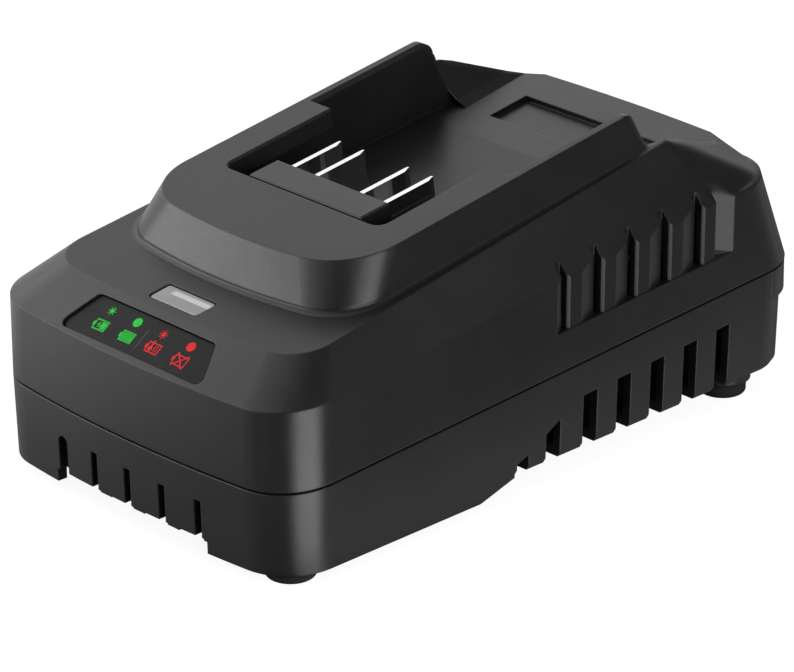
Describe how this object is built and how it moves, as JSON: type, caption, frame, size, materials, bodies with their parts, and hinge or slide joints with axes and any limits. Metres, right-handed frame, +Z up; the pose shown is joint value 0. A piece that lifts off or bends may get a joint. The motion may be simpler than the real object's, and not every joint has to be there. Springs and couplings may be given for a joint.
{
  "type": "power tool battery charger",
  "caption": "Wedge-shaped bench charger with a raised slide-in battery receiver, contact blades, status label, indicator window, louvred side vents and rubber feet.",
  "frame": {"origin": "middle of the footprint, on the surface the feet stand on", "axes": "+Z up, +Y along the length from the status label towards the cable entry, +X to the right seen from the label end"},
  "size_m": [0.1, 0.1723, 0.0756],
  "materials": {
    "housing_plastic": "moulded, fine matt texture",
    "lower_plastic": "moulded, fine matt texture",
    "block_plastic": "smooth moulded",
    "label_film": "smooth printed film",
    "clear_window": "clear moulded, frosted inside",
    "plated_contact": "polished nickel plating",
    "foot_rubber": "soft matt",
    "screw_steel": "zinc plated",
    "board_laminate": "solder mask",
    "ferrite": "sintered",
    "coil_tape": "taped",
    "copper_wire": "enamelled",
    "capacitor_sleeve": "shrink sleeve",
    "capacitor_box": "moulded",
    "fuse_tube": "ceramic tube with plated ends",
    "surge_coating": "dipped",
    "sink_aluminium": "extruded",
    "chip_black": "moulded resin",
    "chip_white": "moulded",
    "lamp_resin": "clear resin",
    "lamp_wire": "insulated wire",
    "power_wire": "insulated wire"
  },
  "bodies": {
    "root": {"block_screws": "screw_steel", "board_screws": "screw_steel", "choke_core": "ferrite", "choke_winding": "copper_wire", "clamp_screws": "screw_steel", "controller_chips": "chip_black", "cord_clamp": "block_plastic", "filter_capacitor": "capacitor_box", "fuse": "fuse_tube", "housing_screws": "screw_steel", "identify_blade": "plated_contact", "indicator_label": "label_film", "lamp_board": "board_laminate", "lamp_leads": "lamp_wire", "light_pipe": "clear_window", "lower_housing": "lower_plastic", "main_board": "board_laminate", "mains_capacitor": "capacitor_sleeve", "mains_connector": "chip_white", "negative_blade": "plated_contact", "optocoupler": "chip_white", "output_capacitors": "capacitor_sleeve", "output_heat_sink": "sink_aluminium", "output_rectifier": "chip_black", "positive_blade": "plated_contact", "rubber_feet": "foot_rubber", "sense_blade": "plated_contact", "status_lamps": "lamp_resin", "surge_disc": "surge_coating", "switching_heat_sink": "sink_aluminium", "switching_transistor": "chip_black", "terminal_block": "block_plastic", "terminal_leads": "power_wire", "transformer_coil": "coil_tape", "transformer_core": "ferrite", "upper_housing": "housing_plastic"}
  },
  "joints": []
}
